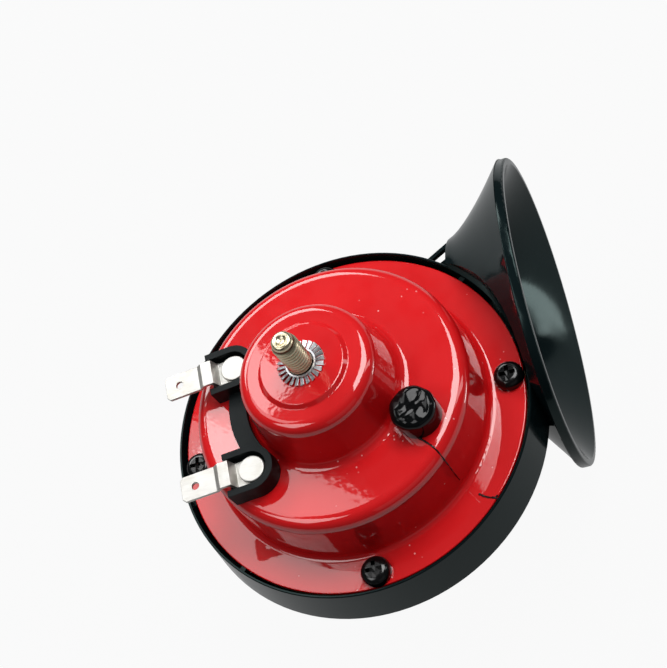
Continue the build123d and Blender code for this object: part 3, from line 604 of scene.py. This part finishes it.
@dataclass
class HornShell:
    """Moulded shell with its duct and bell, and the plate inside it."""

    crease_deg: float = 28.0

    def build(self) -> None:
        """Smooth the moulding's long surfaces and dress the plate inside it."""
        add_piece("moulded_shell", merged("horn_shell"), BLACK_ABS,
                  ("horn_shell",), sharp_deg=self.crease_deg)
        dress(BLACK_ABS, "duct_plate")


@dataclass
class PressedCover:
    """Red pressed cover, the paper gaskets at its flange, and its screws."""

    def build(self) -> None:
        """Dress the cover, its gaskets and its screws."""
        dress(RED_ENAMEL, "rear_cover")
        dress(GASKET_PAPER, "rear_gasket", "front_gasket")
        dress(BLACK_ZINC, "cover_screws")


@dataclass
class StudMount:
    """M6 stud with its rolled thread, and the toothed washer at its foot."""

    crest_r: float = 3.0
    root_r: float = 2.5
    pitch: float = 1.0
    flat_share: float = 0.125
    flank_share: float = 0.4375
    turns_below: int = 2
    turns_above: int = 1
    thread_end: float = 10.0
    run_out: float = 0.7
    run_out_r: float = 2.55
    foot_z: float = -9.7
    steps: int = 48
    thread_sharp_deg: float = 50.0
    tip: tuple[tuple[float, float], ...] = (
        (0.0, 10.8), (0.7, 10.86), (1.15, 11.12), (1.3, 11.28), (1.5, 11.3), (1.85, 11.28),
        (2.15, 11.15), (2.4, 10.85), (2.55, 10.4), (2.6, 9.6), (0.0, 9.6))
    ring: tuple[tuple[float, float], ...] = (
        (3.15, -0.62), (3.15, -0.14), (3.22, -0.08), (3.6, -0.08), (3.65, -0.14), (3.65, -0.62),
        (3.15, -0.62))
    ring_steps: int = 72
    teeth: int = 24
    tooth: tuple[float, float, float] = (2.15, 0.86, 0.28)
    tooth_edge: float = 0.05
    tooth_spread: float = 0.24
    tooth_twist_deg: float = 30.0
    washer_r: float = 5.6
    washer_mid_z: float = -0.35

    def build(self) -> None:
        """Thread the stud and cut the washer."""
        add_piece("threaded_stud", self.thread(), YELLOW_ZINC, ("mounting_stud",),
                  sharp_deg=self.thread_sharp_deg)
        add_piece("twisted_tooth_washer", self.washer(), BRIGHT_ZINC,
                  ("toothed_washer",))

    def thread(self) -> bmesh.types.BMesh:
        """Wind the thread's outline up the stud, trim it, and turn the plain tip with its dimple.

        Returns:
            The stud's mesh, from its root in the core to its tip.
        """
        bm = bmesh.new()
        flat, flank = self.pitch * self.flat_share, self.pitch * self.flank_share
        outline = ((self.root_r, 0), (self.root_r, flat), (self.crest_r, flank),
                   (self.crest_r, flank + flat), (self.root_r, self.pitch))
        start = self.turns_below * self.pitch
        turns = math.ceil(self.thread_end / self.pitch) + self.turns_below + self.turns_above
        line = draw_line(bm, tuple((radius, height - start) for radius, height in outline))
        bmesh.ops.spin(bm, geom=line, cent=(0, 0, 0), axis=(0, 0, 1),
                       dvec=(0, 0, self.pitch * MM / self.steps), angle=math.tau * turns,
                       steps=self.steps * turns)
        bmesh.ops.remove_doubles(bm, verts=bm.verts, dist=WELD)
        for height, up in ((0.0, -1), (self.thread_end, 1)):
            bmesh.ops.bisect_plane(bm, geom=bm.verts[:] + bm.edges[:] + bm.faces[:],
                                   dist=FINE_WELD, plane_co=(0, 0, height * MM),
                                   plane_no=(0, 0, up), clear_outer=True)
        self.fade(bm)
        self.close(bm)
        spin_line(bm, self.tip, self.steps)
        return bm

    def fade(self, bm: bmesh.types.BMesh) -> None:
        """Draw the last turn's crest in, so the thread runs out under the tip.

        Args:
            bm: the wound thread.
        """
        start = self.thread_end - self.run_out
        for vert in bm.verts:
            share = max(0.0, vert.co.z / MM - start) / self.run_out
            limit = self.crest_r - (self.crest_r - self.run_out_r) * share
            radius = math.hypot(vert.co.x, vert.co.y) / MM
            if radius > limit:
                vert.co.x *= limit / radius
                vert.co.y *= limit / radius

    def close(self, bm: bmesh.types.BMesh) -> None:
        """Close the thread's top and run its root down into the core.

        Args:
            bm: the trimmed thread, open at both ends.
        """
        middle = self.thread_end * MM / 2
        rims = [edge for edge in bm.edges if edge.is_boundary]
        top = [edge for edge in rims if edge.verts[0].co.z > middle]
        foot = [edge for edge in rims if edge.verts[0].co.z < middle]
        bmesh.ops.contextual_create(bm, geom=top)
        base = bmesh.ops.contextual_create(bm, geom=foot)["faces"]
        for vert in bmesh.ops.extrude_discrete_faces(bm, faces=base)["faces"][0].verts:
            vert.co.z = self.foot_z * MM

    def washer(self) -> bmesh.types.BMesh:
        """Turn the ring and set twisted teeth round it.

        Returns:
            The washer's mesh: a ring and closed teeth that reach into it.
        """
        bm = bmesh.new()
        length, width, thickness = self.tooth
        made = bmesh.ops.create_cube(bm, size=1.0)
        for vert in made["verts"]:
            vert.co.y *= 1.0 + 2.0 * self.tooth_spread * vert.co.x
        bmesh.ops.scale(bm, vec=Vector((length, width, thickness)) * MM, verts=made["verts"])
        bmesh.ops.bevel(bm, geom=bm.edges[:], offset=self.tooth_edge * MM, offset_type="OFFSET",
                        segments=1, profile=0.5, affect="EDGES", material=-1)
        turn = Matrix.Rotation(math.radians(self.tooth_twist_deg), 4, "X")
        middle = Vector((self.washer_r - length / 2, 0, self.washer_mid_z)) * MM
        bmesh.ops.transform(bm, matrix=Matrix.Translation(middle) @ turn, verts=bm.verts)
        bmesh.ops.spin(bm, geom=bm.verts[:] + bm.edges[:] + bm.faces[:], cent=(0, 0, 0),
                       axis=(0, 0, 1), dvec=(0, 0, 0), steps=self.teeth - 1,
                       angle=math.tau * (self.teeth - 1) / self.teeth, use_duplicate=True)
        spin_line(bm, self.ring, self.ring_steps)
        return bm


@dataclass
class Terminals:
    """Holder, blades and the rivets that clamp them."""

    block_edge: float = 0.25
    blade_edge: float = 0.12
    blade_least_deg: float = 24.0
    sharp_deg: float = 60.0

    def build(self) -> None:
        """Round the edges of the holder and the blades, and dress the rivets."""
        add_piece("holder_moulding", softened("terminal_block", self.block_edge), BLACK_PHENOLIC,
                  ("terminal_block",), sharp_deg=self.sharp_deg, weighted=True)
        for node in ("terminal_upper", "terminal_lower"):
            add_piece(node + "_blade", softened(node, self.blade_edge, self.blade_least_deg),
                      TIN_PLATE, (node,), sharp_deg=self.sharp_deg, weighted=True)
        dress(TIN_PLATE, "terminal_rivets")
        dress(FIBRE_BOARD, "rivet_insulators")


@dataclass
class SealedAdjuster:
    """Adjusting screw under its blob of sealing compound, with the strings that it pulled."""

    centre: tuple[float, float] = (21.4, -12.0)
    foot_z: float = -15.8
    radius: float = 5.4
    height: float = 6.4
    steps: int = 64
    shoulder: float = 1.7
    shoulder_steps: int = 8
    rings: int = 6
    ring_share: float = 0.5
    lump: float = 0.34
    lump_seed: int = 3
    lumps_per_mm: float = 0.36
    lump_rise: float = 1.2
    sag: float = 0.3
    sharp_deg: float = 80.0
    string_r: float = 0.26
    string_taper: float = 0.6
    string_swell: float = 0.18
    string_beat: float = 1.7
    strings: tuple[tuple[tuple[float, float, float], ...], ...] = (
        ((19.6, -15.6, -15.2), (20.3, -17.0, -15.6), (21.5, -17.9, -15.6), (22.9, -19.2, -15.65),
         (24.1, -20.6, -15.9), (24.95, -22.0, -17.2), (25.3, -22.8, -19.6), (25.4, -23.05, -21.9),
         (25.35, -23.25, -25.5), (25.5, -23.5, -28.6)),
        ((28.7, -26.4, -31.85), (29.8, -27.2, -31.85), (31.0, -27.85, -31.85),
         (32.3, -28.05, -31.85), (33.0, -27.7, -31.7)),
        ((31.6, -27.9, -31.85), (32.3, -28.3, -31.85), (33.0, -28.6, -31.8)),
    )

    def build(self) -> None:
        """Make the blob and its strings, and dress the screw."""
        add_piece("sealant_blob", self.blob(), SEALANT, ("screw_sealant",),
                  sharp_deg=self.sharp_deg)
        add_piece("sealant_strings", self.drawn_strings(), SEALANT,
                  sharp_deg=self.sharp_deg)
        dress(BRIGHT_ZINC, "adjusting_screw")
        dress(FIBRE_BOARD, "adjuster_pad")

    def blob(self) -> bmesh.types.BMesh:
        """Round the top of a short cylinder over and let it sag unevenly.

        Returns:
            The blob's mesh.
        """
        bm = bmesh.new()
        middle = Vector((*self.centre, self.foot_z + self.height / 2)) * MM
        bmesh.ops.create_cone(bm, cap_ends=True, segments=self.steps, radius1=self.radius * MM,
                              radius2=self.radius * MM, depth=self.height * MM,
                              matrix=Matrix.Translation(middle))
        top = max(bm.faces, key=lambda face: face.calc_center_median().z)
        bmesh.ops.bevel(bm, geom=list(top.edges), offset=self.shoulder * MM, offset_type="OFFSET",
                        segments=self.shoulder_steps, profile=0.5, affect="EDGES", material=-1)
        cap = max(bm.faces, key=lambda f: (round(f.calc_center_median().z, 6), f.calc_area()))
        for _ in range(self.rings):
            bmesh.ops.inset_individual(bm, faces=[cap],
                                       thickness=self.radius / self.rings * self.ring_share * MM)
        noise.seed_set(self.lump_seed)
        for vert in bm.verts:
            share = (vert.co.z / MM - self.foot_z) / self.height
            sway = noise.noise_vector(vert.co / MM * self.lumps_per_mm) * self.lump * share * MM
            drop = self.sag * self.lump * MM * share
            vert.co += Vector((sway.x, sway.y, sway.z * self.lump_rise - drop))
        return bm

    def drawn_strings(self) -> bmesh.types.BMesh:
        """Lay the thin strings that the compound pulled over the cover.

        Returns:
            One closed tube for each string, thinner towards its end.
        """
        bm = bmesh.new()
        for corners in self.strings:
            path = rounded([Vector(corner) * MM for corner in corners])
            last = len(path) - 1
            radii = [self.string_r * MM * (1.0 - self.string_taper * i / last
                                           + self.string_swell * math.sin(i * self.string_beat))
                     for i in range(last + 1)]
            tube(bm, path, radii)
        return bm


@dataclass
class Diaphragm:
    """Spring-steel sheet, split so that its centre goes with the armature."""

    outer_r: float = 43.2
    split_r: float = 9.3
    split_gap: float = 0.04
    stem_hole_r: float = 2.6
    under_z: float = -33.7
    thickness: float = 0.3
    screw_circle_r: float = 39.7
    screw_hole_r: float = 2.2
    screw_angles_deg: tuple[float, ...] = (1.0, -86.0, -175.0, 94.0)
    steps: int = 96

    def build(self) -> None:
        """Stamp the clamped rim and the centre that the armature carries."""
        holes = [(self.screw_circle_r * math.cos(math.radians(angle)),
                  self.screw_circle_r * math.sin(math.radians(angle)), self.screw_hole_r)
                 for angle in self.screw_angles_deg]
        rim = [(0, 0, self.outer_r), (0, 0, self.split_r), *holes]
        centre = [(0, 0, self.split_r - self.split_gap), (0, 0, self.stem_hole_r)]
        add_piece("diaphragm_rim", self.stamped(rim), SPRING_STEEL,
                  ("diaphragm",))
        add_piece("diaphragm_centre", self.stamped(centre), SPRING_STEEL,
                  body=Body.ARMATURE)

    def stamped(self, circles: list[tuple[float, float, float]]) -> bmesh.types.BMesh:
        """Stamp a sheet whose outline and holes are circles.

        Args:
            circles: each one's centre x, y and radius, the outline first.

        Returns:
            The sheet's closed mesh.
        """
        bm = bmesh.new()
        for x, y, radius in circles:
            middle = Vector((x, y, self.under_z)) * MM
            bmesh.ops.create_circle(bm, cap_ends=False, segments=self.steps, radius=radius * MM,
                                    matrix=Matrix.Translation(middle))
        bmesh.ops.triangle_fill(bm, use_beauty=True, use_dissolve=False, edges=bm.edges[:],
                                normal=(0, 0, 1))
        grown = bmesh.ops.extrude_face_region(bm, geom=bm.faces[:])["geom"]
        bmesh.ops.translate(bm, verts=[v for v in grown if isinstance(v, bmesh.types.BMVert)],
                            vec=(0, 0, self.thickness * MM))
        return bm


@dataclass
class Works:
    """Electromagnet and contact breaker, inside the cover."""

    def build(self) -> None:
        """Dress each inner piece."""
        dress(SOFT_IRON, "pole_core", "armature")
        dress(NYLON, "coil_bobbin")
        dress(COPPER_WIRE, "coil_winding")
        dress(BRIGHT_ZINC, "stiffener_washer", "armature_nut", "breaker_bracket", "breaker_rivet")
        dress(BRONZE, "contact_tag", "contact_spring", "fixed_contact")
        dress(TUNGSTEN, "moving_point", "fixed_point")
        dress(FIBRE_BOARD, "breaker_insulators")


@dataclass(frozen=True)
class Softbox:
    """A rectangular lamp that faces the horn: bearing and rise in degrees, sizes in metres."""

    name: str
    bearing: float
    rise: float
    distance: float
    width: float
    height: float
    radiance: float

    def way(self) -> Vector:
        """Work out the direction from the horn to the lamp.

        Returns:
            A vector of length one.
        """
        flat = math.cos(math.radians(self.rise))
        turn = math.radians(self.bearing)
        return Vector((flat * math.cos(turn), flat * math.sin(turn),
                       math.sin(math.radians(self.rise))))

    def watts(self) -> float:
        """Power that gives the lamp's face its radiance."""
        return self.radiance * math.pi * self.width * self.height


@dataclass
class Studio:
    """Pale floor and surround, soft lamps and the camera.  Distances are metres."""

    floor_z: float = -0.0918
    floor_size: float = 8.0
    floor_colour: str = "7E8082"
    floor_roughness: float = 0.9
    floor_glow: float = 0.94
    mirror_glow: float = 0.36
    surround_colour: str = "F8F9FA"
    surround_mirror: float = 0.06
    surround_fill: float = 0.04
    camera_place: tuple[float, float, float] = (0.10033, -0.16028, 0.27449)
    camera_aim: tuple[float, float, float] = (0.008436, 0.004898, 0.0)
    camera_roll_deg: float = -39.379
    focal_px: float = 1500.0
    image_width_px: float = 667.0
    sensor_mm: float = 36.0
    nearest: float = 0.01
    aim: tuple[float, float, float] = (0.0, 0.0, -0.02)
    lamps: tuple[Softbox, ...] = (
        Softbox("window_left", 129.0, 55.0, 0.944, 0.1, 0.06, 4.6),
        Softbox("softbox_left", 148.0, 57.6, 0.907, 0.31, 0.24, 2.3),
        Softbox("window_low", 122.0, 36.0, 0.9, 0.6, 0.3, 6.0),
        Softbox("panel_right", 48.0, 62.0, 1.0, 0.6, 0.6, 7.0),
        Softbox("panel_far_left", 206.0, 58.0, 0.95, 0.4, 0.4, 3.4),
        Softbox("strip_right", 15.0, 34.0, 0.8, 0.1, 0.5, 2.6),
        Softbox("low_right", 10.4, -15.7, 0.214, 0.07, 0.026, 7.0),
        Softbox("fill_front", -60.0, 28.0, 1.0, 0.8, 0.5, 0.12),
    )

    def build(self) -> None:
        """Set the floor, the world, the lamps and the camera."""
        self.floor()
        self.world()
        for box in self.lamps:
            self.lamp(box)
        self.camera()
        bpy.context.scene.view_settings.view_transform = "Standard"

    def glow(self, tree: bpy.types.NodeTree, seen: float, mirrored: float) -> bpy.types.Node:
        """Work out how white the backdrop is for the ray that meets it.

        Args:
            tree: the floor's or the world's tree.
            seen: how white the camera sees it.
            mirrored: how white gloss and glass show it.

        Returns:
            A node whose output is that share, nought for the rays that light the horn.
        """
        path = add_node(tree, "LightPath")
        direct = add_node(tree, "Math", {"operation": "MULTIPLY", 1: seen},
                          {0: path.outputs["Is Camera Ray"]})
        gloss = add_node(tree, "Math", {"operation": "MAXIMUM"}, {
            0: path.outputs["Is Glossy Ray"], 1: path.outputs["Is Transmission Ray"]})
        dimmed = add_node(tree, "Math", {"operation": "MULTIPLY", 1: mirrored}, {0: gloss})
        return add_node(tree, "Math", {"operation": "MAXIMUM"}, {0: direct, 1: dimmed})

    def floor(self) -> None:
        """Lay a mid-grey floor that the camera sees near white, over a faint, soft shadow."""
        bm = bmesh.new()
        bmesh.ops.create_grid(bm, x_segments=1, y_segments=1, size=self.floor_size / 2,
                              matrix=Matrix.Translation((0, 0, self.floor_z)))
        data = bpy.data.meshes.new("floor")
        bm.to_mesh(data)
        bm.free()
        plane = bpy.data.objects.new("floor", data)
        bpy.context.scene.collection.objects.link(plane)
        material = bpy.data.materials.new("white_paper_floor")
        material.use_nodes = True
        tree = material.node_tree
        shader = tree.nodes["Principled BSDF"]
        shader.inputs["Base Color"].default_value = srgb(self.floor_colour)
        shader.inputs["Roughness"].default_value = self.floor_roughness
        white = add_node(tree, "Emission", {"Color": (1, 1, 1, 1), "Strength": 1.0})
        share = self.glow(tree, self.floor_glow, self.mirror_glow)
        mix = add_node(tree, "MixShader", None, {0: share, 1: shader, 2: white})
        feed(tree.nodes["Material Output"], {"Surface": mix})
        data.materials.append(material)

    def world(self) -> None:
        """Show a white surround to the camera, of which a faint share lights the horn."""
        world = bpy.data.worlds.new("pale_surround")
        world.use_nodes = True
        tree = world.node_tree
        background = tree.nodes["Background"]
        background.inputs["Color"].default_value = srgb(self.surround_colour)
        share = self.glow(tree, 1.0, self.surround_mirror)
        level = add_node(tree, "Math", {"operation": "MAXIMUM", 1: self.surround_fill},
                         {0: share})
        feed(background, {"Strength": level})
        bpy.context.scene.world = world

    def lamp(self, box: Softbox) -> None:
        """Hang one softbox, turned to the horn and unseen by the camera.

        Args:
            box: where it hangs, its size and how bright its face is.
        """
        data = bpy.data.lights.new(box.name, "AREA")
        data.shape = "RECTANGLE"
        data.size = box.width
        data.size_y = box.height
        data.energy = box.watts()
        lamp = bpy.data.objects.new(box.name, data)
        lamp.visible_camera = False
        way = box.way()
        lamp.location = Vector(self.aim) + way * box.distance
        lamp.rotation_euler = way.to_track_quat("Z", "Y").to_euler()
        bpy.context.scene.collection.objects.link(lamp)

    def camera(self) -> None:
        """Stand the camera over the cover and roll it."""
        data = bpy.data.cameras.new("camera")
        data.sensor_fit = "HORIZONTAL"
        data.sensor_width = self.sensor_mm
        data.lens = self.focal_px * data.sensor_width / self.image_width_px
        data.clip_start = self.nearest
        camera = bpy.data.objects.new("camera", data)
        place = Vector(self.camera_place)
        look = (Vector(self.camera_aim) - place).to_track_quat("-Z", "Y").to_matrix().to_4x4()
        roll = Matrix.Rotation(math.radians(self.camera_roll_deg), 4, "Z")
        camera.matrix_world = Matrix.Translation(place) @ look @ roll
        bpy.context.scene.collection.objects.link(camera)
        bpy.context.scene.camera = camera


def main() -> None:
    """Build every sub-assembly, then the studio, logging each as it is finished."""
    logging.basicConfig(level=logging.INFO, format="%(name)s: %(message)s")
    for part in (HornShell(), PressedCover(), StudMount(), Terminals(), SealedAdjuster(),
                 Diaphragm(), Works(), Studio()):
        part.build()
        LOG.info("finished %s", type(part).__name__)


if __name__ == "__main__":
    main()
